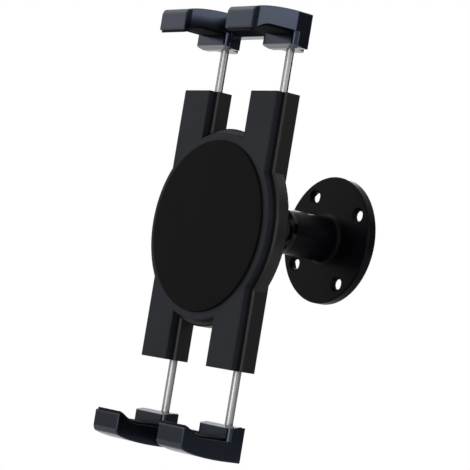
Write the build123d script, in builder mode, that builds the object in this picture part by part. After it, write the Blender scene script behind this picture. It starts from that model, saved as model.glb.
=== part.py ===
"""Tablet wall mount: a sprung two-jaw cradle on a ball joint, carried by a round wall bracket.

Millimetres. X runs across the wall, +Y points into the wall and +Z up. The origin is the
centre of the wall bracket's back face, so the whole mount lies at negative Y.
"""
import os
from math import cos, pi, sin, sqrt

from build123d import *

os.makedirs("parts", exist_ok=True)

# Wall bracket
plate_thickness = 4.5
plate_margin = 2.9
plate_edge_round = 0.8
post_dia = 21.4
post_length = 26.3
post_flare = 2.6
wall_screw_hole_dia = 5.0
wall_screw_head_dia = 7.6
wall_screw_circle_dia = 48.2
wall_screw_first_angle = 32.3
plate_back_relief = 2.3
plate_back_rim = 3.0
post_core_dia = 13.0
socket_floor = 3.5
socket_wall = 1.15

# Ball joint
ball_dia = 17.0
ball_behind_post_end = 1.0
ball_clearance = 0.1
ball_flat_dia = 9.0
dish_thickness = 0.7
dish_inner_angle = 12.0
dish_outer_angle = 42.0
seat_depth = 10.0
seat_lip = 2.4
ring_thickness = 2.5
ring_sleeve_length = 2.8
ring_sleeve_gap = 0.2
ring_notch_width = 2.0
ring_notch_depth = 1.0
ring_notch_count = 2
running_clearance = 0.05
neck_dia = 7.6
stud_dia = 5.0
stud_in_ball = 9.0
stud_collar_width = 13.0
stud_collar_length = 3.0

# Cradle: distances named depth are counted back from the arms' front faces
mount_depth = 75.4
cradle_drop = 5.0
arm_length = 127.0
arm_width = 19.3
arm_spacing = 50.7
lip_dia = 87.2
cover_thickness = 3.5
cover_edge = 0.4
ledge_width = 2.6
ledge_chamfer = 0.8
shell_side_depth = 7.9
shell_rim = 4.0
shell_back_wall = 2.0
arm_end_wall = 6.0
disc_back_chamfer = 1.8
pad_dia = 80.0
pad_thickness = 2.0
pad_recess = 0.5
pad_gap = 0.1
pad_edge = 0.6
tower_base_dia = 27.0
tower_length = 19.0
tower_taper = 17.0
tower_rib_count = 6
tower_rib_reach = 8.0
tower_rib_height = 10.0
tower_rib_thickness = 1.8
stud_washer_dia = 12.0
stud_washer_thickness = 1.0
stud_nut_width = 8.0
stud_nut_thickness = 2.7
case_screw_x = 14.0
case_screw_z = 29.0
case_screw_dia = 2.6
case_screw_head_dia = 5.2
case_screw_bite = 2.2
case_boss_dia = 7.0

# Rods, springs and bushes
rod_dia = 3.8
rod_spacing = 49.4
rod_depth = 11.9
rod_tail = 60.0
rod_in_jaw = 12.0
rod_end_chamfer = 0.4
channel_dia = 8.4
channel_wall = 2.0
channel_stop = 2.0
collar_dia = 7.2
collar_length = 4.0
bush_length = 6.0
spring_dia = 7.0
spring_wire = 0.8
spring_turns = 9
spring_sides = 10
spring_end_gap = 0.2

# Jaws: a height in a jaw is counted outwards from the ledge that the tablet's edge rests on
upper_ledge = 91.6
lower_ledge = 95.0
hook_reach = 23.5
hook_tip_thickness = 3.5
hook_tip_inner = -3.6
hook_tip_outer = 4.2
hook_bevel_depth = 1.0
hook_bevel_height = 1.9
hook_lip_bevel = 0.6
hook_lip_land = 1.4
jaw_outer = 9.0
jaw_inner_end = -7.0
block_width = 24.4
block_front_depth = 3.1
block_corner = 2.5
block_foot_bevel_depth = 5.0
block_foot_bevel_height = 1.1
jaw_back_round = 2.0
jaw_edge_chamfer = 0.4
crossbar_inner = -1.8
crossbar_thickness = 6.0
grip_width = 17.6
grip_thickness = 1.2
grip_front_margin = 0.7
jaw_screw_dia = 3.0
jaw_screw_height = 1.0
jaw_screw_recess = 0.6

# Places worked out from the sizes above
front_y = -mount_depth
cradle_z = -cradle_drop
plate_radius = (wall_screw_circle_dia + wall_screw_head_dia) / 2 + plate_margin
arm_x = arm_spacing / 2
rod_x = rod_spacing / 2
rod_y = front_y + rod_depth
shell_front_depth = cover_thickness
shell_back_depth = cover_thickness + shell_side_depth
shell_back_y = front_y + shell_back_depth
arm_end = arm_length / 2
rod_radius = rod_dia / 2
post_end_y = -plate_thickness - post_length
ball_y = post_end_y + ball_behind_post_end
ball_radius = ball_dia / 2
socket_radius = post_dia / 2 - socket_wall
socket_floor_y = ball_y + seat_depth
ring_front_y = post_end_y - ring_thickness
ball_flat_y = ball_y - sqrt(ball_radius**2 - (ball_flat_dia / 2) ** 2)
tower_end_y = shell_back_y + tower_length
collar_front_y = tower_end_y + stud_collar_length
inner_wall_depth = shell_back_depth - shell_back_wall
inner_wall_y = front_y + inner_wall_depth

ACROSS = Plane.YZ
ball_axis = Axis((0, 0, 0), (0, 1, 0))


def cradle_plane(depth):
    """A plane facing the room, centred on the cradle's disc, at a depth behind its front face."""
    return Plane(origin=(0, front_y + depth, cradle_z), x_dir=(1, 0, 0), z_dir=(0, -1, 0))


def mount_plane(y):
    """A plane facing the room, centred on the ball joint's axis."""
    return Plane(origin=(0, y, 0), x_dir=(1, 0, 0), z_dir=(0, -1, 0))


def level_plane(z):
    """A level plane at a height."""
    return Plane(origin=(0, 0, z), x_dir=(1, 0, 0), z_dir=(0, 0, 1))


def save(builder, label):
    """Label a finished piece and write its STEP file."""
    builder.part.label = label
    export_step(builder.part, f"parts/{label}.step")


def cradle_outline(depth, edge, end_inset=0.0, disc=True):
    """The cradle's face, a disc with two long arms, grown by an edge at its sides."""
    with BuildSketch(cradle_plane(depth)) as outline:
        with Locations((-arm_x, 0), (arm_x, 0)):
            Rectangle(arm_width + 2 * edge, arm_length - 2 * end_inset)
        if disc:
            Circle(lip_dia / 2 + edge)
    return outline.sketch


# The wall bracket is one casting: a round plate with four countersunk holes, and a post whose
# mouth is the ball's socket. The post is cored out from behind and the plate is hollow inside
# its rim, so that only the rim and the post's end touch the wall.
with BuildPart() as wall_bracket:
    with BuildSketch(mount_plane(0)):
        Circle(plate_radius)
    extrude(amount=plate_thickness)
    plate_rim = wall_bracket.faces().sort_by(Axis.Y)[0].edges()
    fillet(plate_rim, plate_edge_round)
    with BuildSketch(mount_plane(-plate_thickness)):
        Circle(post_dia / 2)
    extrude(amount=post_length)
    post_foot = wall_bracket.edges().filter_by(GeomType.CIRCLE)
    post_foot = post_foot.filter_by(lambda e: abs(e.radius - post_dia / 2) < 0.01)
    fillet(post_foot.sort_by(Axis.Y)[-1], post_flare)
    with BuildSketch(mount_plane(post_end_y)):
        Circle(socket_radius)
    extrude(amount=-(socket_floor_y - post_end_y), mode=Mode.SUBTRACT)
    with BuildSketch(mount_plane(0)):
        Circle(post_core_dia / 2)
    extrude(amount=-(socket_floor_y + socket_floor), mode=Mode.SUBTRACT)
    with BuildSketch(mount_plane(0)):
        Circle(plate_radius - plate_back_rim)
        Circle(post_dia / 2, mode=Mode.SUBTRACT)
    extrude(amount=plate_back_relief, mode=Mode.SUBTRACT)
    with Locations(mount_plane(-plate_thickness)):
        with PolarLocations(wall_screw_circle_dia / 2, 4, wall_screw_first_angle):
            CounterSinkHole(wall_screw_hole_dia / 2, wall_screw_head_dia / 2, plate_thickness, 90)
save(wall_bracket, "wall_bracket")

# The clamp ring screws into the post's mouth and holds the ball by a band of its sphere.
with BuildPart() as clamp_ring:
    with BuildSketch(mount_plane(post_end_y)):
        Circle(post_dia / 2)
    extrude(amount=ring_thickness)
    with BuildSketch(mount_plane(post_end_y)):
        Circle(socket_radius - running_clearance)
    extrude(amount=-ring_sleeve_length)
    with Locations((0, ball_y, 0)):
        Sphere(ball_radius + ball_clearance, mode=Mode.SUBTRACT)
    with BuildSketch(mount_plane(ball_y - ring_sleeve_gap)):
        Circle(ball_radius + ring_sleeve_gap)
    extrude(amount=-ring_sleeve_length, mode=Mode.SUBTRACT)
    with BuildSketch(mount_plane(ring_front_y)):
        with PolarLocations(post_dia / 2, ring_notch_count, 90):
            Rectangle(2 * ring_notch_depth, ring_notch_width)
    extrude(amount=-ring_thickness / 2, mode=Mode.SUBTRACT)
save(clamp_ring, "clamp_ring")

# The seat is a nylon cup at the bottom of the socket.
dish_outer_radius = ball_radius + ball_clearance + dish_thickness
seat_radius = dish_outer_radius + ball_clearance
with BuildPart() as ball_seat:
    with BuildSketch(mount_plane(socket_floor_y)):
        Circle(socket_radius - running_clearance)
        Circle(post_core_dia / 4, mode=Mode.SUBTRACT)
    extrude(amount=seat_depth - seat_lip)
    with Locations((0, ball_y, 0)):
        Sphere(seat_radius, mode=Mode.SUBTRACT)
save(ball_seat, "ball_seat")

# The friction dish is a thin band of a sphere between the seat and the ball.
dish_inner_radius = ball_radius + ball_clearance
with BuildPart() as friction_dish:
    with BuildSketch(ACROSS):
        with BuildLine():
            inner = CenterArc((ball_y, 0), dish_inner_radius, dish_inner_angle,
                              dish_outer_angle - dish_inner_angle)
            outer = CenterArc((ball_y, 0), dish_outer_radius, dish_inner_angle,
                              dish_outer_angle - dish_inner_angle)
            Line(inner @ 0, outer @ 0)
            Line(inner @ 1, outer @ 1)
        make_face()
    revolve(axis=ball_axis)
save(friction_dish, "friction_dish")

# The ball has a flat for the stud's neck and a blind bore that the stud turns in.
with BuildPart() as ball:
    with Locations((0, ball_y, 0)):
        Sphere(ball_radius)
    with BuildSketch(mount_plane(ball_flat_y)):
        Circle(ball_dia)
    extrude(amount=ball_dia, mode=Mode.SUBTRACT)
    with BuildSketch(mount_plane(ball_flat_y)):
        Circle(stud_dia / 2 + running_clearance)
    extrude(amount=-(stud_in_ball + ball_clearance), mode=Mode.SUBTRACT)
save(ball, "ball")

# The ball stud: shank in the ball, plain neck, hexagon collar against the tower, and a
# threaded end that its nut draws up inside the cradle.
stud_end_depth = inner_wall_depth - stud_washer_thickness - stud_nut_thickness
with BuildPart() as ball_stud:
    with BuildSketch(mount_plane(ball_flat_y + stud_in_ball)):
        Circle(stud_dia / 2)
    extrude(amount=ball_flat_y + stud_in_ball - front_y - stud_end_depth)
    with BuildSketch(mount_plane(ball_flat_y - ball_clearance)):
        Circle(neck_dia / 2)
    extrude(amount=ball_flat_y - ball_clearance - collar_front_y)
    with BuildSketch(mount_plane(collar_front_y)):
        RegularPolygon(stud_collar_width / 2, 6, major_radius=False)
    extrude(amount=stud_collar_length)
save(ball_stud, "ball_stud")

with BuildPart() as stud_washer:
    with BuildSketch(mount_plane(inner_wall_y)):
        Circle(stud_washer_dia / 2)
        Circle(stud_dia / 2 + running_clearance, mode=Mode.SUBTRACT)
    extrude(amount=stud_washer_thickness)
save(stud_washer, "stud_washer")

with BuildPart() as stud_nut:
    with BuildSketch(mount_plane(inner_wall_y - stud_washer_thickness)):
        RegularPolygon(stud_nut_width / 2, 6, major_radius=False)
        Circle(stud_dia / 2 + running_clearance, mode=Mode.SUBTRACT)
    extrude(amount=stud_nut_thickness)
save(stud_nut, "stud_nut")

# The rear shell carries everything: a moulded tray with the disc and arms' outline, a
# half-round channel behind each pair of rods, and a ribbed tower for the ball stud.
case_screw_places = [
    (side_x * case_screw_x, side_z * case_screw_z) for side_x in (-1, 1) for side_z in (-1, 1)
]
channel_radius = channel_dia / 2
with BuildPart() as rear_shell:
    with BuildSketch(cradle_plane(shell_front_depth)):
        Circle(lip_dia / 2 + ledge_width)
    extrude(amount=-shell_side_depth)
    chamfer(rear_shell.edges().group_by(Axis.Y)[-1], disc_back_chamfer)
    arms_alone = cradle_outline(shell_front_depth, ledge_width, disc=False)
    extrude(arms_alone, amount=-shell_side_depth)
    front_face = rear_shell.faces().sort_by(Axis.Y)[0]
    ledge_edges = front_face.edges().filter_by(
        lambda e: e.geom_type == GeomType.CIRCLE or abs(e.tangent_at(0.5).Z) > 0.9
    )
    chamfer(ledge_edges, ledge_chamfer)
    with BuildSketch(level_plane(cradle_z - arm_end)):
        with Locations((-rod_x, rod_y), (rod_x, rod_y)):
            Circle(channel_radius + channel_wall)
    extrude(amount=arm_length)
    with BuildSketch(mount_plane(shell_back_y)):
        Circle(tower_base_dia / 2)
    extrude(amount=-tower_length, taper=tower_taper)
    for rib in range(tower_rib_count):
        turn = 2 * pi * (rib + 0.5) / tower_rib_count
        rib_plane = Plane(origin=(0, shell_back_y, 0), x_dir=(cos(turn), 0, sin(turn)),
                          z_dir=(-sin(turn), 0, cos(turn)))
        with BuildSketch(rib_plane):
            with BuildLine():
                Polyline((stud_dia, 0), (tower_base_dia / 2 + tower_rib_reach, 0),
                         (stud_dia, tower_rib_height), close=True)
            make_face()
        extrude(amount=tower_rib_thickness / 2, both=True)
    extrude(
        cradle_outline(shell_front_depth, ledge_width - shell_rim, arm_end_wall),
        amount=-(shell_side_depth - shell_back_wall),
        mode=Mode.SUBTRACT,
    )
    for side in (-1, 1):
        with BuildSketch(level_plane(cradle_z + side * channel_stop)):
            with Locations((-rod_x, rod_y), (rod_x, rod_y)):
                Circle(channel_radius)
        extrude(amount=side * arm_length, mode=Mode.SUBTRACT)
    with BuildSketch(cradle_plane(shell_front_depth)):
        with Locations(*case_screw_places):
            Circle(case_boss_dia / 2)
    extrude(amount=-shell_side_depth)
    with Locations(Plane(origin=(0, shell_back_y, cradle_z), x_dir=(-1, 0, 0), z_dir=(0, 1, 0))):
        with Locations(*case_screw_places):
            CounterSinkHole(case_screw_dia / 2 + running_clearance, case_screw_head_dia / 2,
                            shell_side_depth, 90)
    with BuildSketch(mount_plane(tower_end_y)):
        Circle(stud_dia / 2 + running_clearance)
    extrude(amount=tower_end_y - inner_wall_y, mode=Mode.SUBTRACT)
save(rear_shell, "rear_shell")

# The front cover is a flat moulding with a shallow seat for the pad.
with BuildPart() as front_cover:
    extrude(cradle_outline(0, 0), amount=-cover_thickness)
    chamfer(front_cover.faces().sort_by(Axis.Y)[0].edges(), cover_edge)
    with BuildSketch(cradle_plane(0)):
        Circle(pad_dia / 2 + pad_gap)
    extrude(amount=-pad_recess, mode=Mode.SUBTRACT)
    with BuildSketch(cradle_plane(cover_thickness)):
        with Locations(*case_screw_places):
            Circle(case_screw_dia / 2 + running_clearance)
    extrude(amount=case_screw_bite + running_clearance, mode=Mode.SUBTRACT)
save(front_cover, "front_cover")

with BuildPart() as face_pad:
    with BuildSketch(cradle_plane(pad_recess)):
        Circle(pad_dia / 2)
    extrude(amount=pad_thickness)
    fillet(face_pad.faces().sort_by(Axis.Y)[0].edges(), pad_edge)
save(face_pad, "face_pad")

# Four countersunk screws go in from the back and bite into the cover.
with BuildPart() as case_screws:
    with BuildSketch(cradle_plane(shell_back_depth)):
        with Locations(*case_screw_places):
            Circle(case_screw_dia / 2)
    extrude(amount=shell_side_depth + case_screw_bite)
    head_height = (case_screw_head_dia - case_screw_dia) / 2
    with BuildSketch(cradle_plane(shell_back_depth)):
        with Locations(*case_screw_places):
            Circle(case_screw_head_dia / 2 - running_clearance)
    extrude(amount=head_height - running_clearance, taper=45)
save(case_screws, "case_screws")

# Each corner of the cradle has a rod, the collar on its inner end, the bush that guides it
# and the spring between the two, which draws the jaw home.
corners = [("upper_left", -1, 1), ("upper_right", 1, 1), ("lower_left", -1, -1),
           ("lower_right", 1, -1)]
ledges = {1: upper_ledge, -1: lower_ledge}
for corner, side_x, side_z in corners:
    x = side_x * rod_x
    block_end = ledges[side_z] + jaw_inner_end
    tail = block_end - rod_tail

    with BuildPart() as rod:
        with BuildSketch(level_plane(cradle_z + side_z * tail)):
            with Locations((x, rod_y)):
                Circle(rod_radius)
        extrude(amount=side_z * (rod_tail + rod_in_jaw))
        chamfer(rod.edges().filter_by(GeomType.CIRCLE), rod_end_chamfer)
    save(rod, f"{corner}_rod")

    with BuildPart() as collar:
        with BuildSketch(level_plane(cradle_z + side_z * (tail + rod_end_chamfer))):
            with Locations((x, rod_y)):
                Circle(collar_dia / 2)
                Circle(rod_radius + running_clearance, mode=Mode.SUBTRACT)
        extrude(amount=side_z * collar_length)
    save(collar, f"{corner}_collar")

    with BuildPart() as bush:
        with BuildSketch(level_plane(cradle_z + side_z * arm_end)):
            with Locations((x, rod_y)):
                Circle(channel_radius - running_clearance)
                Circle(rod_radius + running_clearance, mode=Mode.SUBTRACT)
        extrude(amount=-side_z * bush_length)
    save(bush, f"{corner}_bush")

    spring_start = tail + rod_end_chamfer + collar_length + spring_wire / 2 + spring_end_gap
    spring_end = arm_end - bush_length - spring_wire / 2 - spring_end_gap
    spring_radius = (spring_dia - spring_wire) / 2
    steps = spring_turns * spring_sides
    coil = [
        (
            x + spring_radius * cos(2 * pi * step / spring_sides),
            rod_y + spring_radius * sin(2 * pi * step / spring_sides),
            cradle_z + side_z * (spring_start + (spring_end - spring_start) * step / steps),
        )
        for step in range(steps + 1)
    ]
    with BuildPart() as spring:
        with BuildLine() as coil_line:
            Polyline(*coil)
        with BuildSketch(Plane(origin=coil[0], z_dir=coil_line.line % 0)):
            Rectangle(spring_wire, spring_wire)
        sweep(transition=Transition.RIGHT)
    save(spring, f"{corner}_spring")

# Each jaw is one moulding: two hooks that curl over the tablet's edge, a block around the
# end of each rod, and a bar that joins the two at the back.
block_front_y = front_y + block_front_depth
hook_tip_y = block_front_y - hook_reach
hook_neck_y = hook_tip_y + hook_tip_thickness


def on_outline(edge, ledge_z):
    """Whether an edge belongs to a jaw's outer outline, its tips or its bar's front edge."""
    middle = edge.center()
    along = edge.tangent_at(0.5)
    outwards = abs(middle.Z - cradle_z) - abs(ledge_z - cradle_z)
    if abs(along.Z) > 0.95:
        return abs(middle.Y - hook_tip_y) < 0.1
    if abs(along.X) < 0.5:
        return outwards > hook_tip_outer and middle.Y < shell_back_y - 0.1
    over_tip = middle.Y < hook_neck_y and outwards > hook_tip_outer - 0.1
    bar_front = abs(middle.X) < 1 and middle.Y < shell_back_y - 1 and outwards > jaw_outer - 0.1
    return over_tip or bar_front


for name, side_z in (("upper", 1), ("lower", -1)):
    ledge = ledges[side_z]

    def height(above_ledge):
        """The height of a jaw feature that lies outwards of the ledge."""
        return cradle_z + side_z * (ledge + above_ledge)

    def throat(lining):
        """The curve from the hook's lip up to its ledge, moved inwards by a lining."""
        return [
            (hook_tip_y + hook_lip_land, height(hook_tip_inner - lining)),
            (hook_tip_y + hook_reach * 0.2, height(hook_tip_inner * 0.7 - lining)),
            (hook_tip_y + hook_reach * 0.26, height(-lining)),
            (hook_tip_y + hook_reach * 0.45, height(-lining)),
        ]

    with BuildPart() as jaw:
        with BuildSketch(Plane.YZ):
            with BuildLine():
                curve = Bezier(*throat(0))
                land = Line(curve @ 0, (hook_tip_y + hook_lip_bevel, height(hook_tip_inner)))
                lip = Line(land @ 1, (hook_tip_y, height(hook_tip_inner + hook_lip_bevel)))
                tip = Line(lip @ 1, (hook_tip_y, height(hook_tip_outer)))
                bevel = Line(tip @ 1, (hook_tip_y + hook_bevel_depth,
                                       height(hook_tip_outer + hook_bevel_height)))
                back = Bezier(bevel @ 1,
                              (hook_tip_y + hook_reach * 0.19, height(jaw_outer * 0.84)),
                              (hook_tip_y + hook_reach * 0.51, height(jaw_outer)),
                              (block_front_y, height(jaw_outer)))
                top = Line(back @ 1, (shell_back_y, height(jaw_outer)))
                rear = Line(top @ 1, (shell_back_y, height(0)))
                Line(rear @ 1, curve @ 1)
            make_face()
        extrude(amount=arm_x + block_width / 2, both=True)
        with BuildSketch(level_plane(cradle_z)):
            for side_x in (-1, 1):
                with BuildLine():
                    Polyline(
                        (side_x * (arm_x - arm_width / 2), hook_tip_y),
                        (side_x * (arm_x + arm_width / 2), hook_tip_y),
                        (side_x * (arm_x + arm_width / 2), hook_neck_y),
                        (side_x * (arm_x + block_width / 2), block_front_y),
                        (side_x * (arm_x + block_width / 2), shell_back_y),
                        (side_x * (arm_x - block_width / 2), shell_back_y),
                        (side_x * (arm_x - block_width / 2), block_front_y),
                        (side_x * (arm_x - arm_width / 2), hook_neck_y),
                        close=True,
                    )
                make_face()
        extrude(amount=side_z * 2 * arm_length, mode=Mode.INTERSECT)
        with BuildSketch(level_plane(height(jaw_inner_end))) as block_plan:
            with Locations((-arm_x, (block_front_y + shell_back_y) / 2),
                           (arm_x, (block_front_y + shell_back_y) / 2)):
                Rectangle(block_width, shell_back_y - block_front_y)
            fillet(block_plan.vertices().group_by(Axis.Y)[0], block_corner)
            with Locations((-rod_x, rod_y), (rod_x, rod_y)):
                Circle(channel_radius + channel_wall)
        extrude(amount=side_z * (jaw_outer - jaw_inner_end))
        with BuildSketch(level_plane(height(crossbar_inner))):
            with Locations((0, shell_back_y - crossbar_thickness / 2)):
                Rectangle(arm_spacing, crossbar_thickness)
        extrude(amount=side_z * (jaw_outer - crossbar_inner))
        with BuildSketch(Plane.YZ):
            with BuildLine():
                Polyline(
                    (block_front_y, height(jaw_inner_end)),
                    (block_front_y + block_foot_bevel_depth, height(jaw_inner_end)),
                    (block_front_y, height(jaw_inner_end + block_foot_bevel_height)),
                    close=True,
                )
            make_face()
        extrude(amount=2 * arm_x, both=True, mode=Mode.SUBTRACT)
        outline = [edge for edge in jaw.edges() if on_outline(edge, side_z * ledge + cradle_z)]
        chamfer(outline, jaw_edge_chamfer)
        outer_face = jaw.faces().sort_by(Axis.Z)[-1 if side_z > 0 else 0]
        back_edge = outer_face.edges().filter_by(Axis.X).sort_by(Axis.Y)[-1]
        fillet(back_edge, jaw_back_round)
        with BuildSketch(level_plane(height(jaw_inner_end))):
            with Locations((-rod_x, rod_y), (rod_x, rod_y)):
                Circle(rod_radius + running_clearance)
        extrude(amount=side_z * (rod_in_jaw + running_clearance), mode=Mode.SUBTRACT)
        with BuildSketch(Plane(origin=(0, rod_y, height(jaw_screw_height)), x_dir=(1, 0, 0),
                               z_dir=(0, -1, 0))):
            with Locations((-rod_x, 0), (rod_x, 0)):
                Circle(jaw_screw_dia / 2 + running_clearance)
        extrude(amount=-(channel_radius + channel_wall + 1), mode=Mode.SUBTRACT)
    save(jaw, f"{name}_jaw")

    with BuildPart() as jaw_screws:
        with BuildSketch(Plane(origin=(0, rod_y + rod_radius + running_clearance,
                                       height(jaw_screw_height)),
                               x_dir=(1, 0, 0), z_dir=(0, -1, 0))):
            with Locations((-rod_x, 0), (rod_x, 0)):
                Circle(jaw_screw_dia / 2)
        extrude(amount=-(channel_radius + channel_wall - jaw_screw_recess - rod_radius
                         - running_clearance))
    save(jaw_screws, f"{name}_jaw_screws")

    for side_name, side_x in (("left", -1), ("right", 1)):
        with BuildPart() as grip:
            with BuildSketch(Plane.YZ.offset(side_x * arm_x)):
                with BuildLine():
                    bond = Bezier(*throat(0))
                    face = Bezier(*throat(grip_thickness))
                    Polyline(bond @ 1, (block_front_y, height(0)),
                             (block_front_y, height(-grip_thickness)), face @ 1)
                    Polyline(bond @ 0,
                             (hook_tip_y + grip_front_margin, height(hook_tip_inner)),
                             (hook_tip_y + grip_front_margin,
                              height(hook_tip_inner - grip_thickness)),
                             face @ 0)
                make_face()
            extrude(amount=grip_width / 2, both=True)
        save(grip, f"{name}_{side_name}_grip")
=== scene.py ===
import math

import bmesh
import bpy
from mathutils import Matrix, Vector


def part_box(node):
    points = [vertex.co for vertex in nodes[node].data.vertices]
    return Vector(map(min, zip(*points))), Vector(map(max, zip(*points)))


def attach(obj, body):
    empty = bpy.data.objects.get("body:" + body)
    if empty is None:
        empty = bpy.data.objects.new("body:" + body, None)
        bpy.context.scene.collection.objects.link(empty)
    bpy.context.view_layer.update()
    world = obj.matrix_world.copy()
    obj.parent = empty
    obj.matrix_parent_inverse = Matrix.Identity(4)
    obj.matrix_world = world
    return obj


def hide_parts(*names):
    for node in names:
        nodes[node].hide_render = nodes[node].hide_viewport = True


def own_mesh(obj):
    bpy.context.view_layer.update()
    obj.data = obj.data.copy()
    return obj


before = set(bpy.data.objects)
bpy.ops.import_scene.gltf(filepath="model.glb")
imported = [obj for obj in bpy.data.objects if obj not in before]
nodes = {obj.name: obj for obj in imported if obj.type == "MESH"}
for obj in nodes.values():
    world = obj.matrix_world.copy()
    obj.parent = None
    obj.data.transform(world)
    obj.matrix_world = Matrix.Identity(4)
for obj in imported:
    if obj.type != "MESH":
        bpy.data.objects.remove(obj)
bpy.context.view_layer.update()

# The wall bracket is a die-cast plate and post in satin black powder coat.
# Four countersunk screws hold it to the wall. The coat has a very fine orange peel.
bracket_black = (0.0028, 0.0032, 0.0046, 1)
bracket_edge_wear = 0.0003
noise_low = 0.3
noise_high = 0.7
tone_patch = 0.018
tone_gain = 1.18
gloss_low = 0.93
gloss_high = 1.08
edge_samples = 6


def new_material(name, colour, roughness, specular=0.5, metallic=0.0):
    """A material with one plain shader, for the finishes below to build on."""
    material = bpy.data.materials.new(name)
    material.use_nodes = True
    tree = material.node_tree
    shader = tree.nodes["Principled BSDF"]
    shader.inputs["Base Color"].default_value = colour
    shader.inputs["Roughness"].default_value = roughness
    shader.inputs["Specular IOR Level"].default_value = specular
    shader.inputs["Metallic"].default_value = metallic
    return material, tree, shader


def surface_noise(tree, size, detail=3.0, stretch=(1, 1, 1)):
    """Noise over the piece with features of a given size in metres."""
    place = tree.nodes.new("ShaderNodeTexCoord")
    turn = tree.nodes.new("ShaderNodeMapping")
    turn.inputs["Scale"].default_value = stretch
    noise = tree.nodes.new("ShaderNodeTexNoise")
    noise.inputs["Scale"].default_value = 1 / size
    noise.inputs["Detail"].default_value = detail
    tree.links.new(place.outputs["Object"], turn.inputs["Vector"])
    tree.links.new(turn.outputs["Vector"], noise.inputs["Vector"])
    return noise.outputs["Fac"]


def spread(tree, value, low, high):
    """The noise's middle range mapped to run from low to high."""
    ranged = tree.nodes.new("ShaderNodeMapRange")
    ranged.inputs["From Min"].default_value = noise_low
    ranged.inputs["From Max"].default_value = noise_high
    ranged.inputs["To Min"].default_value = low
    ranged.inputs["To Max"].default_value = high
    tree.links.new(value, ranged.inputs["Value"])
    return ranged.outputs["Result"]


def tint(tree, shader, value, dark, light):
    """Colour that varies softly between two near tones."""
    ramp = tree.nodes.new("ShaderNodeValToRGB")
    ramp.color_ramp.elements[0].position = noise_low
    ramp.color_ramp.elements[0].color = dark
    ramp.color_ramp.elements[1].position = noise_high
    ramp.color_ramp.elements[1].color = light
    tree.links.new(value, ramp.inputs["Fac"])
    tree.links.new(ramp.outputs["Color"], shader.inputs["Base Color"])


def raise_surface(tree, shader, value, height, soft_edge):
    """Fine relief of a height in metres, over edges that catch the light as if rounded."""
    bump = tree.nodes.new("ShaderNodeBump")
    bump.inputs["Distance"].default_value = height
    tree.links.new(value, bump.inputs["Height"])
    if soft_edge:
        rounded = tree.nodes.new("ShaderNodeBevel")
        rounded.samples = edge_samples
        rounded.inputs["Radius"].default_value = soft_edge
        tree.links.new(rounded.outputs["Normal"], bump.inputs["Normal"])
    tree.links.new(bump.outputs["Normal"], shader.inputs["Normal"])


def coated(name, colour, roughness, grain, relief, specular=0.5, soft_edge=0.0,
           gloss_tint=(1, 1, 1, 1)):
    """Moulded plastic or powder coat: a fine grain, with slow changes of tone and gloss."""
    material, tree, shader = new_material(name, colour, roughness, specular)
    shader.inputs["Specular Tint"].default_value = gloss_tint
    broad = surface_noise(tree, tone_patch, detail=2.0)
    lighter = tuple(min(1.0, c * tone_gain) for c in colour[:3]) + (1,)
    tint(tree, shader, broad, colour, lighter)
    fine = surface_noise(tree, grain, detail=4.0)
    gloss = spread(tree, fine, roughness * gloss_low, roughness * gloss_high)
    tree.links.new(gloss, shader.inputs["Roughness"])
    raise_surface(tree, shader, fine, relief, soft_edge)
    return material


def finish_node(name, material):
    """Give a solid from the frame its finish."""
    slots = nodes[name].data.materials
    slots.clear()
    slots.append(material)


powder_coat = coated("powder_coat", bracket_black, roughness=0.36, grain=0.0009,
                     relief=0.00002, specular=0.07, soft_edge=bracket_edge_wear)
finish_node("wall_bracket", powder_coat)

# The ball's seat is a dark nylon cup and the friction dish a thin spring-steel bowl.
# Both are pushed down the post and held there by the ball.
nylon_grey = (0.03, 0.03, 0.03, 1)
steel_grey = (0.42, 0.42, 0.43, 1)
streak_width = 0.0004
gloss_drop = 0.04
gloss_rise = 0.08
streak_shade = 0.85
seat_nylon = coated("seat_nylon", nylon_grey, roughness=0.55, grain=0.0006, relief=0.00003)
finish_node("ball_seat", seat_nylon)


def bright_metal(name, colour, roughness, streak=(1, 1, 1), relief=0.0, soft_edge=0.0):
    """Turned or drawn metal, with streaks along or around it."""
    material, tree, shader = new_material(name, colour, roughness, metallic=1.0)
    lines = surface_noise(tree, streak_width, stretch=streak)
    gloss = spread(tree, lines, roughness - gloss_drop, roughness + gloss_rise)
    tree.links.new(gloss, shader.inputs["Roughness"])
    darker = tuple(c * streak_shade for c in colour[:3]) + (1,)
    tint(tree, shader, lines, darker, colour)
    if relief:
        raise_surface(tree, shader, lines, relief, soft_edge)
    return material


spring_steel = bright_metal("spring_steel", steel_grey, roughness=0.3, relief=0.000004)
finish_node("friction_dish", spring_steel)

# The clamp ring is a glossy black moulding with two notches for a spanner. It screws into
# the post's mouth and presses on the ball, which is polished in the same black.
ring_black = (0.0012, 0.0012, 0.0016, 1)
gloss_black = coated("gloss_black", ring_black, roughness=0.16, grain=0.003,
                     relief=0.000004, specular=0.15, soft_edge=0.0003)
finish_node("clamp_ring", gloss_black)
finish_node("ball", gloss_black)

# The ball stud is nickel-plated steel: a neck out of the ball, a hexagon collar against the
# tower, and a threaded end with its washer and nut inside the cradle.
nickel_grey = (0.42, 0.41, 0.4, 1)
nickel = bright_metal("nickel", nickel_grey, roughness=0.28, streak=(1, 0.05, 1),
                      relief=0.000006, soft_edge=0.0002)
for name in ("ball_stud", "stud_washer", "stud_nut"):
    finish_node(name, nickel)

# The rear shell is a moulded tray with the rods' channels and the stud's ribbed tower.
# It is dark charcoal plastic with a fine spark texture, and everything is fixed to it.
shell_charcoal = (0.005, 0.0053, 0.0062, 1)
shell_plastic = coated("shell_plastic", shell_charcoal, roughness=0.38, grain=0.0005,
                       relief=0.00001, specular=0.3, soft_edge=0.0003)
finish_node("rear_shell", shell_plastic)

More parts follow.
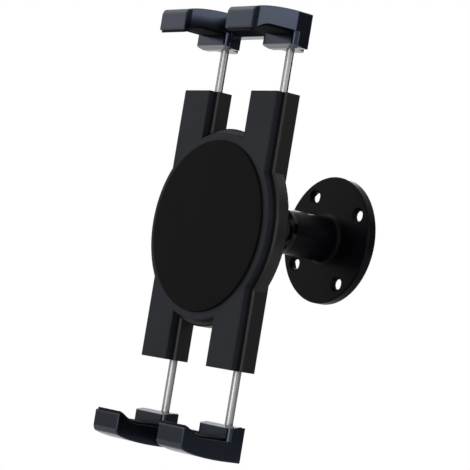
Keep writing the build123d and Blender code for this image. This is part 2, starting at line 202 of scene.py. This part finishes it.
# The front cover is the disc and arms that face the tablet, moulded in the same charcoal
# plastic, a little lighter. Four screws from the back hold it to the shell.
cover_charcoal = (0.0175, 0.019, 0.0235, 1)
cover_plastic = coated("cover_plastic", cover_charcoal, roughness=0.5, grain=0.0005,
                       relief=0.00002, specular=0.1, soft_edge=0.0002)
finish_node("front_cover", cover_plastic)

# The case screws are black countersunk steel screws with a cross recess, sunk flush in the
# shell's back, where they pull the cover down.
case_screw_head = 0.0051
case_screw_shank = 0.0026
case_screw_head_depth = 0.00125
head_facets = 40
shank_facets = 32
cross_length = 0.003
cross_width = 0.0007
cross_depth = 0.0009
smooth_below = math.radians(35)
heads_to_back = (math.radians(-90), 0, 0)
oxide_grey = (0.035, 0.035, 0.037, 1)
black_oxide = bright_metal("black_oxide", oxide_grey, roughness=0.35, relief=0.000006)


def grow(name, values):
    """A new tree of shape nodes with one input for each named value."""
    tree = bpy.data.node_groups.new(name, "GeometryNodeTree")
    tree.is_modifier = True
    tree.interface.new_socket("Geometry", in_out="INPUT", socket_type="NodeSocketGeometry")
    for label, value in values.items():
        is_finish = isinstance(value, bpy.types.Material)
        kind = "NodeSocketMaterial" if is_finish else "NodeSocketFloat"
        tree.interface.new_socket(label, in_out="INPUT", socket_type=kind)
    tree.interface.new_socket("Geometry", in_out="OUTPUT", socket_type="NodeSocketGeometry")
    given = tree.nodes.new("NodeGroupInput")
    return tree, given.outputs, tree.nodes.new("NodeGroupOutput")


def feed(tree, socket, value):
    """Link a socket to another one, or fill it with a plain value."""
    if isinstance(value, bpy.types.NodeSocket):
        tree.links.new(value, socket)
    else:
        socket.default_value = value


def add_node(tree, kind, settings=None, **links):
    """Add a node, set it, and link or fill the inputs that are named."""
    node = tree.nodes.new(kind)
    for attribute, value in (settings or {}).items():
        setattr(node, attribute, value)
    for label, value in links.items():
        feed(tree, node.inputs[label.replace("_", " ")], value)
    return node


def calculate(tree, operation, *terms):
    """The result of one sum, whose terms are sockets or plain numbers."""
    node = tree.nodes.new("ShaderNodeMath")
    node.operation = operation
    for socket, term in zip(list(node.inputs), terms):
        feed(tree, socket, term)
    return node.outputs["Value"]


def lift(tree, shape, height):
    """Move a shape along its own Z by a height in metres."""
    offset = add_node(tree, "ShaderNodeCombineXYZ", Z=height)
    moved = add_node(tree, "GeometryNodeTransform", Geometry=shape,
                     Translation=offset.outputs["Vector"])
    return moved.outputs["Geometry"]


def cut_out(tree, shape, tool):
    """Cut one closed shape out of another."""
    hollow = add_node(tree, "GeometryNodeMeshBoolean", {"operation": "DIFFERENCE"})
    tree.links.new(shape, hollow.inputs["Mesh 1"])
    tree.links.new(tool, hollow.inputs["Mesh 2"])
    return hollow.outputs["Mesh"]


def on_points(tree, points, shape, turn=(0, 0, 0)):
    """Put a copy of a shape on each point of the piece's own mesh."""
    spots = add_node(tree, "GeometryNodeMeshToPoints", Mesh=points)
    placed = add_node(tree, "GeometryNodeInstanceOnPoints", Points=spots.outputs["Points"],
                      Instance=shape, Rotation=turn)
    return placed.outputs["Instances"]


def close_tree(tree, shapes, material, out):
    """Join the shapes, make them real, give them their material and send them out."""
    joined = tree.nodes.new("GeometryNodeJoinGeometry")
    for shape in shapes:
        tree.links.new(shape, joined.inputs["Geometry"])
    real = add_node(tree, "GeometryNodeRealizeInstances", Geometry=joined.outputs["Geometry"])
    coat = add_node(tree, "GeometryNodeSetMaterial", Geometry=real.outputs["Geometry"],
                    Material=material)
    tree.links.new(coat.outputs["Geometry"], out.inputs["Geometry"])


def settle(name, mesh, tree, values):
    """Run a tree on a mesh with its named values, and keep the result as a plain piece."""
    piece = bpy.data.objects.new(name, mesh)
    bpy.context.scene.collection.objects.link(piece)
    modifier = piece.modifiers.new(tree.name, "NODES")
    modifier.node_group = tree
    for item in tree.interface.items_tree:
        if item.in_out == "INPUT" and item.name in values:
            modifier[item.identifier] = values[item.name]
    seen = piece.evaluated_get(bpy.context.evaluated_depsgraph_get())
    plain = bpy.data.meshes.new_from_object(seen)
    piece.modifiers.clear()
    piece.data = plain
    bpy.data.meshes.remove(mesh)
    for face in plain.polygons:
        face.use_smooth = True
    plain.set_sharp_from_angle(angle=smooth_below)
    return piece


def points_mesh(name, places):
    """A mesh of loose points."""
    mesh = bpy.data.meshes.new(name)
    mesh.from_pydata(places, [], [])
    return mesh


low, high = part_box("case_screws")
screw_values = {
    "Head Diameter": case_screw_head,
    "Head Depth": case_screw_head_depth,
    "Shank Diameter": case_screw_shank,
    "Length": high.y - low.y,
    "Cross Length": cross_length,
    "Cross Width": cross_width,
    "Cross Depth": cross_depth,
    "Finish": black_oxide,
}
screw_tree, given, out = grow("cross_recess_screws", screw_values)
head_radius = calculate(screw_tree, "MULTIPLY", given["Head Diameter"], 0.5)
shank_radius = calculate(screw_tree, "MULTIPLY", given["Shank Diameter"], 0.5)
head = add_node(screw_tree, "GeometryNodeMeshCone", Vertices=head_facets,
                Radius_Bottom=shank_radius, Radius_Top=head_radius, Depth=given["Head Depth"])
head_foot = calculate(screw_tree, "MULTIPLY", given["Head Depth"], -1)
recessed_head = lift(screw_tree, head.outputs["Mesh"], head_foot)
for long_axis, short_axis in (("X", "Y"), ("Y", "X")):
    bar_size = add_node(screw_tree, "ShaderNodeCombineXYZ", Z=given["Cross Depth"])
    screw_tree.links.new(given["Cross Length"], bar_size.inputs[long_axis])
    screw_tree.links.new(given["Cross Width"], bar_size.inputs[short_axis])
    bar = add_node(screw_tree, "GeometryNodeMeshCube", Size=bar_size.outputs["Vector"])
    recessed_head = cut_out(screw_tree, recessed_head, bar.outputs["Mesh"])
half_down = calculate(screw_tree, "MULTIPLY", given["Length"], -0.5)
shank_span = calculate(screw_tree, "SUBTRACT", given["Length"], given["Head Depth"])
shank_middle = calculate(screw_tree, "MULTIPLY_ADD", given["Head Depth"], -0.5, half_down)
shank = add_node(screw_tree, "GeometryNodeMeshCylinder", Vertices=shank_facets,
                 Radius=shank_radius, Depth=shank_span)
one_screw = screw_tree.nodes.new("GeometryNodeJoinGeometry")
screw_tree.links.new(recessed_head, one_screw.inputs["Geometry"])
screw_tree.links.new(lift(screw_tree, shank.outputs["Mesh"], shank_middle),
                     one_screw.inputs["Geometry"])
screws = on_points(screw_tree, given["Geometry"], one_screw.outputs["Geometry"], heads_to_back)
close_tree(screw_tree, [screws], given["Finish"], out)

screw_inset = case_screw_head / 2
screw_places = [
    (x, high.y, z)
    for x in (low.x + screw_inset, high.x - screw_inset)
    for z in (low.z + screw_inset, high.z - screw_inset)
]
case_screws = settle("recessed_case_screws", points_mesh("case_screw_places", screw_places),
                     screw_tree, screw_values)
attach(case_screws, "cradle")
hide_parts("case_screws")

# The face pad is a soft black rubber disc with a rounded rim, stuck into the cover's shallow
# seat. Its face is moulded very slightly crowned, with a fine matt skin.
pad_black = (0.003, 0.0032, 0.003, 1)
pad_steps = 160
pad_rim = 0.0006
pad_rim_steps = 6
pad_crown = 0.00012
pad_crown_shares = (0.9, 0.75, 0.5, 0.25, 0.0)
pad_sharp_angle = math.radians(40)
pad_rubber = coated("pad_rubber", pad_black, roughness=0.72, grain=0.0004, relief=0.00002,
                    specular=0.08)
low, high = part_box("face_pad")
pad_centre = (low + high) / 2
pad_radius = (high.x - low.x) / 2
profile = [(0.0, high.y), (pad_radius, high.y)]
for step in range(pad_rim_steps + 1):
    turn = math.radians(90 * step / pad_rim_steps)
    profile.append((
        pad_radius - pad_rim * (1 - math.cos(turn)),
        low.y + pad_crown + pad_rim * (1 - math.sin(turn)),
    ))
for share in pad_crown_shares:
    profile.append(((pad_radius - pad_rim) * share, low.y + pad_crown * share**2))
shape = bmesh.new()
rings = []
for radius, y in profile:
    if radius == 0:
        rings.append([shape.verts.new((pad_centre.x, y, pad_centre.z))])
        continue
    rings.append([
        shape.verts.new((
            pad_centre.x + radius * math.cos(2 * math.pi * step / pad_steps),
            y,
            pad_centre.z + radius * math.sin(2 * math.pi * step / pad_steps),
        ))
        for step in range(pad_steps)
    ])
for ring, following in zip(rings, rings[1:]):
    for step in range(pad_steps):
        after = (step + 1) % pad_steps
        if len(ring) == 1:
            shape.faces.new((ring[0], following[after], following[step]))
        elif len(following) == 1:
            shape.faces.new((ring[step], ring[after], following[0]))
        else:
            shape.faces.new((ring[step], ring[after], following[after], following[step]))
bmesh.ops.recalc_face_normals(shape, faces=shape.faces)
pad_mesh = bpy.data.meshes.new("rubber_face_pad")
shape.to_mesh(pad_mesh)
shape.free()
for face in pad_mesh.polygons:
    face.use_smooth = True
pad_mesh.set_sharp_from_angle(angle=pad_sharp_angle)
pad_mesh.materials.append(pad_rubber)
face_pad = bpy.data.objects.new("rubber_face_pad", pad_mesh)
bpy.context.scene.collection.objects.link(face_pad)
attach(face_pad, "cradle")
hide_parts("face_pad")

# Each rod is polished steel wire with chamfered ends. Its brass collar presses the spring
# against the black bush at the arm's end, all inside the channel.
rod_grey = (0.4, 0.4, 0.41, 1)
brass_yellow = (0.6, 0.43, 0.18, 1)
bush_black = (0.02, 0.02, 0.021, 1)
corners = ("upper_left", "upper_right", "lower_left", "lower_right")
polished_steel = bright_metal("polished_steel", rod_grey, roughness=0.36,
                              streak=(0.3, 0.3, 0.004))
turned_brass = bright_metal("turned_brass", brass_yellow, roughness=0.3, relief=0.000004)
bush_plastic = coated("bush_plastic", bush_black, roughness=0.45, grain=0.0006, relief=0.00002)
for corner in corners:
    finish_node(f"{corner}_rod", polished_steel)
    finish_node(f"{corner}_collar", turned_brass)
    finish_node(f"{corner}_bush", bush_plastic)

# Each spring is a coil of round steel wire over the rod, inside the channel, made here as one
# fixed coil on the cradle.
# On the mount the collar presses it shorter against the bush as the jaw slides out, and it draws
# the jaw home.
spring_wire = 0.0008
spring_mean_radius = 0.0031
spring_turns = 9.0
wire_sides = 10
steps_per_turn = 32
spring_values = {
    "Mean Radius": spring_mean_radius,
    "Wire Radius": spring_wire / 2,
    "Turns": spring_turns,
    "Height": 0.0,
    "Finish": spring_steel,
}
coil_tree, given, out = grow("coiled_spring", spring_values)
coil_line = add_node(coil_tree, "GeometryNodeCurveSpiral", Resolution=steps_per_turn,
                     Rotations=given["Turns"], Start_Radius=given["Mean Radius"],
                     End_Radius=given["Mean Radius"], Height=given["Height"])
wire_round = add_node(coil_tree, "GeometryNodeCurvePrimitiveCircle", Resolution=wire_sides,
                      Radius=given["Wire Radius"])
coil = add_node(coil_tree, "GeometryNodeCurveToMesh", Curve=coil_line.outputs["Curve"],
                Profile_Curve=wire_round.outputs["Curve"], Fill_Caps=True)
springs = on_points(coil_tree, given["Geometry"], coil.outputs["Mesh"])
close_tree(coil_tree, [springs], given["Finish"], out)
for corner in corners:
    low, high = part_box(f"{corner}_spring")
    length = high.z - low.z
    spring_values["Height"] = length - 2 * spring_wire
    foot = ((low.x + high.x) / 2, (low.y + high.y) / 2, low.z + spring_wire)
    spring = settle(f"{corner}_coiled_spring", points_mesh(f"{corner}_spring_foot", [foot]),
                    coil_tree, spring_values)
    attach(spring, "cradle")
    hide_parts(f"{corner}_spring")
    jaw = corner.split("_")[0]
    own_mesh(spring)

# The jaws are two like mouldings in a satin black plastic with a bluish sheen. Each has two
# hooks, a block on the end of each rod and a bar that joins them.
jaw_black = (0.0012, 0.0014, 0.002, 1)
jaw_sheen = (0.58, 0.7, 1, 1)
jaw_plastic = coated("jaw_plastic", jaw_black, roughness=0.21, grain=0.0004, relief=0.000002,
                     specular=0.62, soft_edge=0.0003, gloss_tint=jaw_sheen)
finish_node("upper_jaw", jaw_plastic)
finish_node("lower_jaw", jaw_plastic)

# A set screw with a hexagon socket goes in from behind each rod block and grips the rod.
# It is a black steel stub with a chamfered end, just below the surface.
set_screw_diameter = 0.003
set_screw_chamfer = 0.00025
set_screw_facets = 36
socket_width = 0.0015
socket_depth = 0.0012
socket_sides = 6
set_values = {
    "Diameter": set_screw_diameter,
    "Length": 0.0,
    "Chamfer": set_screw_chamfer,
    "Socket Width": socket_width,
    "Socket Depth": socket_depth,
    "Finish": black_oxide,
}
set_tree, given, out = grow("socket_set_screws", set_values)
stub_radius = calculate(set_tree, "MULTIPLY", given["Diameter"], 0.5)
end_radius = calculate(set_tree, "SUBTRACT", stub_radius, given["Chamfer"])
stub_span = calculate(set_tree, "SUBTRACT", given["Length"], given["Chamfer"])
stub = add_node(set_tree, "GeometryNodeMeshCone", Vertices=set_screw_facets,
                Radius_Bottom=stub_radius, Radius_Top=stub_radius, Depth=stub_span)
tip = add_node(set_tree, "GeometryNodeMeshCone", Vertices=set_screw_facets,
               Radius_Bottom=stub_radius, Radius_Top=end_radius, Depth=given["Chamfer"])
whole = add_node(set_tree, "GeometryNodeMeshBoolean", {"operation": "UNION"})
set_tree.links.new(stub.outputs["Mesh"], whole.inputs["Mesh 2"])
set_tree.links.new(lift(set_tree, tip.outputs["Mesh"], stub_span), whole.inputs["Mesh 2"])
socket_radius = calculate(set_tree, "MULTIPLY", given["Socket Width"], 1 / math.sqrt(3))
socket_span = calculate(set_tree, "MULTIPLY", given["Socket Depth"], 2)
hexagon = add_node(set_tree, "GeometryNodeMeshCylinder", Vertices=socket_sides,
                   Radius=socket_radius, Depth=socket_span)
socketed = cut_out(set_tree, whole.outputs["Mesh"],
                   lift(set_tree, hexagon.outputs["Mesh"], given["Length"]))
set_screws = on_points(set_tree, given["Geometry"], socketed, heads_to_back)
close_tree(set_tree, [set_screws], given["Finish"], out)
for jaw in ("upper", "lower"):
    low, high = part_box(f"{jaw}_jaw_screws")
    inset = set_screw_diameter / 2
    places = [(x, low.y, (low.z + high.z) / 2) for x in (low.x + inset, high.x - inset)]
    set_values["Length"] = high.y - low.y
    screws = settle(f"{jaw}_set_screws", points_mesh(f"{jaw}_set_screw_places", places),
                    set_tree, set_values)
    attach(screws, f"{jaw}_jaw")
    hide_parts(f"{jaw}_jaw_screws")

# The grips are soft rubber linings bonded inside the hooks, where the tablet's edge rests.
# Fine ribs run across each lining, from the hook's lip along its curve to the block.
grip_black = (0.0045, 0.0045, 0.005, 1)
hook_reach = 0.0235
lip_drop = 0.0036
lip_land = 0.0014
throat_start = 0.2
throat_turn = 0.26
throat_end = 0.45
throat_fall = 0.7
throat_steps = 14
lining_margin = 0.0007
lining_thickness = 0.0012
lining_edge = 0.00025
lining_edge_steps = 2
rib_radius = 0.0003
rib_facets = 14
rib_length = 0.0168
rib_spacing = 0.0012
rib_start = 0.003
hair = 1e-6
grip_rubber = coated("grip_rubber", grip_black, roughness=0.7, grain=0.0005, relief=0.00002,
                     specular=0.12)


def throat_line(tip_y, block_y, ledge_z, inwards, depth):
    """Points along the hook's throat, a depth in from its moulding, as (y, z)."""
    guides = [
        Vector((tip_y + lip_land, lip_drop + depth)),
        Vector((tip_y + hook_reach * throat_start, lip_drop * throat_fall + depth)),
        Vector((tip_y + hook_reach * throat_turn, depth)),
        Vector((tip_y + hook_reach * throat_end, depth)),
    ]
    line = [Vector((tip_y + lining_margin, lip_drop + depth))]
    for step in range(throat_steps + 1):
        t = step / throat_steps
        line.append(
            guides[0] * (1 - t) ** 3
            + guides[1] * 3 * t * (1 - t) ** 2
            + guides[2] * 3 * t**2 * (1 - t)
            + guides[3] * t**3
        )
    line.append(Vector((block_y, depth)))
    return [(y, ledge_z + inwards * drop) for y, drop in line]


rib_values = {
    "Rib Spacing": rib_spacing,
    "Rib Radius": rib_radius,
    "Rib Length": rib_length,
    "Finish": grip_rubber,
}
rib_tree, given, out = grow("ribbed_lining", rib_values)
neighbours = rib_tree.nodes.new("GeometryNodeInputMeshEdgeNeighbors")
loose = add_node(rib_tree, "FunctionNodeCompare", {"data_type": "INT", "operation": "EQUAL"})
rib_tree.links.new(neighbours.outputs["Face Count"], loose.inputs[2])
loose.inputs[3].default_value = 0
guide = add_node(rib_tree, "GeometryNodeMeshToCurve", Mesh=given["Geometry"],
                 Selection=loose.outputs["Result"])
marks = add_node(rib_tree, "GeometryNodeCurveToPoints", {"mode": "LENGTH"},
                 Curve=guide.outputs["Curve"], Length=given["Rib Spacing"])
rib = add_node(rib_tree, "GeometryNodeMeshCylinder", Vertices=rib_facets,
               Radius=given["Rib Radius"], Depth=given["Rib Length"])
ribs = add_node(rib_tree, "GeometryNodeInstanceOnPoints", Points=marks.outputs["Points"],
                Instance=rib.outputs["Mesh"], Rotation=(0, math.radians(90), 0))
body = add_node(rib_tree, "GeometryNodeDeleteGeometry", {"domain": "EDGE"},
                Geometry=given["Geometry"], Selection=loose.outputs["Result"])
close_tree(rib_tree, [body.outputs["Geometry"], ribs.outputs["Instances"]], given["Finish"], out)

for jaw, inwards in (("upper", -1), ("lower", 1)):
    shape = bmesh.new()
    for side in ("left", "right"):
        low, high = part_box(f"{jaw}_{side}_grip")
        ledge_z = high.z if inwards < 0 else low.z
        tip_y = low.y - lining_margin
        bond = throat_line(tip_y, high.y, ledge_z, inwards, 0)
        skin = throat_line(tip_y, high.y, ledge_z, inwards, lining_thickness - rib_radius / 2)
        rib_line = throat_line(tip_y, high.y - rib_spacing, ledge_z, inwards,
                               lining_thickness - rib_radius)
        rib_line = [(y, z) for y, z in rib_line if y > tip_y + rib_start]
        walls = []
        for x in (low.x, high.x):
            walls.append([shape.verts.new((x, y, z)) for y, z in bond + skin[::-1]])
        shape.faces.new(walls[0])
        shape.faces.new(walls[1][::-1])
        count = len(walls[0])
        for step in range(count):
            after = (step + 1) % count
            shape.faces.new((walls[0][after], walls[0][step], walls[1][step], walls[1][after]))
        bmesh.ops.recalc_face_normals(shape, faces=shape.faces)
        rims = [
            edge for edge in shape.edges
            if any(len(face.verts) > 4 for face in edge.link_faces)
            and low.x - hair <= edge.verts[0].co.x <= high.x + hair
        ]
        bmesh.ops.bevel(shape, geom=rims, offset=lining_edge, segments=lining_edge_steps,
                        profile=0.5, affect="EDGES")
        middle = (low.x + high.x) / 2
        guide_points = [shape.verts.new((middle, y, z)) for y, z in rib_line]
        for point, following in zip(guide_points, guide_points[1:]):
            shape.edges.new((point, following))
    lining_mesh = bpy.data.meshes.new(f"{jaw}_lining_body")
    shape.to_mesh(lining_mesh)
    shape.free()
    linings = settle(f"{jaw}_ribbed_linings", lining_mesh, rib_tree, rib_values)
    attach(linings, f"{jaw}_jaw")
    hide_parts(f"{jaw}_left_grip", f"{jaw}_right_grip")

# A plain pale floor lies well below the mount.
# It fades with distance into the white behind it.
floor_pale = (0.85, 0.85, 0.85, 1)
floor_height = -0.3
floor_reach = 30.0
fade_start = 0.3
fade_end = 1.2
fade_least = 0.25
scene = bpy.context.scene
floor_mesh = bpy.data.meshes.new("floor")
shape = bmesh.new()
bmesh.ops.create_grid(shape, x_segments=1, y_segments=1, size=floor_reach)
bmesh.ops.translate(shape, vec=(0, 0, floor_height), verts=shape.verts)
shape.to_mesh(floor_mesh)
shape.free()
floor = bpy.data.objects.new("floor", floor_mesh)
scene.collection.objects.link(floor)
floor_paint, tree, shader = new_material("floor_paint", floor_pale, roughness=0.8, specular=0.1)
floor.data.materials.append(floor_paint)


def seen_rays(tree):
    """One where a ray comes from the camera or off a shiny surface."""
    rays = tree.nodes.new("ShaderNodeLightPath")
    seen = rays.outputs["Is Camera Ray"]
    for kind in ("Is Glossy Ray", "Is Transmission Ray"):
        seen = calculate(tree, "MAXIMUM", seen, rays.outputs[kind])
    return seen


far_white = tree.nodes.new("ShaderNodeEmission")
spot = tree.nodes.new("ShaderNodeTexCoord")
distance = tree.nodes.new("ShaderNodeVectorMath")
distance.operation = "LENGTH"
fade = tree.nodes.new("ShaderNodeMapRange")
fade.interpolation_type = "SMOOTHSTEP"
fade.inputs["From Min"].default_value = fade_start
fade.inputs["From Max"].default_value = fade_end
fade.inputs["To Min"].default_value = fade_least
blend_floor = tree.nodes.new("ShaderNodeMixShader")
tree.links.new(spot.outputs["Object"], distance.inputs[0])
tree.links.new(distance.outputs["Value"], fade.inputs["Value"])
white_share = calculate(tree, "MULTIPLY", fade.outputs["Result"], seen_rays(tree))
tree.links.new(white_share, blend_floor.inputs["Fac"])
tree.links.new(shader.outputs["BSDF"], blend_floor.inputs[1])
tree.links.new(far_white.outputs["Emission"], blend_floor.inputs[2])
tree.links.new(blend_floor.outputs["Shader"], tree.nodes["Material Output"].inputs["Surface"])

# The studio is white behind and around the mount, for what is seen.
# It is dim as a light, because the lamps give the light.
studio_grey = (0.8, 0.8, 0.82, 1)
studio_strength = 0.3
world = bpy.data.worlds.new("studio")
world.use_nodes = True
scene.world = world
sky = world.node_tree
dim = sky.nodes["Background"]
dim.inputs["Color"].default_value = studio_grey
dim.inputs["Strength"].default_value = studio_strength
white = sky.nodes.new("ShaderNodeBackground")
white.inputs["Color"].default_value = (1, 1, 1, 1)
choose = sky.nodes.new("ShaderNodeMixShader")
sky.links.new(seen_rays(sky), choose.inputs["Fac"])
sky.links.new(dim.outputs["Background"], choose.inputs[1])
sky.links.new(white.outputs["Background"], choose.inputs[2])
sky.links.new(choose.outputs["Shader"], sky.nodes["World Output"].inputs["Surface"])

# Three dark curtains hang out of sight round the sides, as in a studio. Polished and satin
# faces show them beside the white gap behind the camera, which gives the rods their shine.
curtain_dark = (0.01, 0.01, 0.01, 1)
curtain_radius = 2.6
curtain_foot = -1.8
curtain_steps = 20
high_top = 1.8
low_top = 0.3
curtain_arcs = [
    ("left_curtain", 168, 282, high_top),
    ("low_curtain", -3, 30, low_top),
    ("right_curtain", 30, 118, high_top),
]
curtain_black, tree, shader = new_material("curtain_black", curtain_dark, roughness=0.9,
                                           specular=0.0)
for name, start, end, top in curtain_arcs:
    shape = bmesh.new()
    columns = []
    for step in range(curtain_steps + 1):
        turn = math.radians(start + (end - start) * step / curtain_steps)
        columns.append([
            shape.verts.new((curtain_radius * math.cos(turn), curtain_radius * math.sin(turn), z))
            for z in (curtain_foot, top)
        ])
    for column, following in zip(columns, columns[1:]):
        shape.faces.new((column[0], column[1], following[1], following[0]))
    curtain_mesh = bpy.data.meshes.new(name)
    shape.to_mesh(curtain_mesh)
    shape.free()
    curtain_mesh.materials.append(curtain_black)
    curtain = bpy.data.objects.new(name, curtain_mesh)
    scene.collection.objects.link(curtain)
    curtain.visible_camera = False
    curtain.visible_diffuse = False
    curtain.visible_shadow = False

# A wide round lamp high on the left gives the main light. Smaller ones stand in front, on
# the right and behind. Each row is a name, a place, a width in metres and a power in watts.
mount_middle = Vector((0, -0.05, 0))
lamp_settings = [
    ("key_lamp", (-1.38, -1.22, 0.78), 2.0, 12),
    ("front_lamp", (0.4, -1.6, 0.0), 0.9, 9),
    ("side_lamp", (1.5, 0.55, 0.55), 0.5, 2.2),
    ("back_lamp", (-1.2, 1.3, 0.5), 0.8, 9),
]
for name, place, width, power in lamp_settings:
    lamp = bpy.data.lights.new(name, "AREA")
    lamp.shape = "DISK"
    lamp.size = width
    lamp.energy = power
    holder = bpy.data.objects.new(name, lamp)
    holder.location = place
    holder.rotation_euler = (mount_middle - Vector(place)).to_track_quat("-Z", "Y").to_euler()
    scene.collection.objects.link(holder)

# The camera stands to the right of the mount, a little below its middle, and leans over.
# Its place and lens are those that the cradle's edges in the photograph fit best.
camera_place = Vector((0.79148, -0.66348, -0.06155))
camera_right = Vector((0.60612, 0.77847, 0.16313))
camera_down = Vector((0.05597, 0.16284, -0.98506))
camera_ahead = Vector((-0.7934, 0.60619, 0.05513))
camera_lens = 164.61
camera_sensor = 36
camera_far_end = 100
camera_data = bpy.data.cameras.new("camera")
camera_data.lens = camera_lens
camera_data.sensor_width = camera_sensor
camera_data.clip_end = camera_far_end
camera = bpy.data.objects.new("camera", camera_data)
camera.rotation_mode = "QUATERNION"
camera.rotation_quaternion = Matrix(
    (camera_right, -camera_down, -camera_ahead)
).transposed().to_quaternion()
camera.location = camera_place
scene.collection.objects.link(camera)
scene.camera = camera
scene.view_settings.view_transform = "Standard"
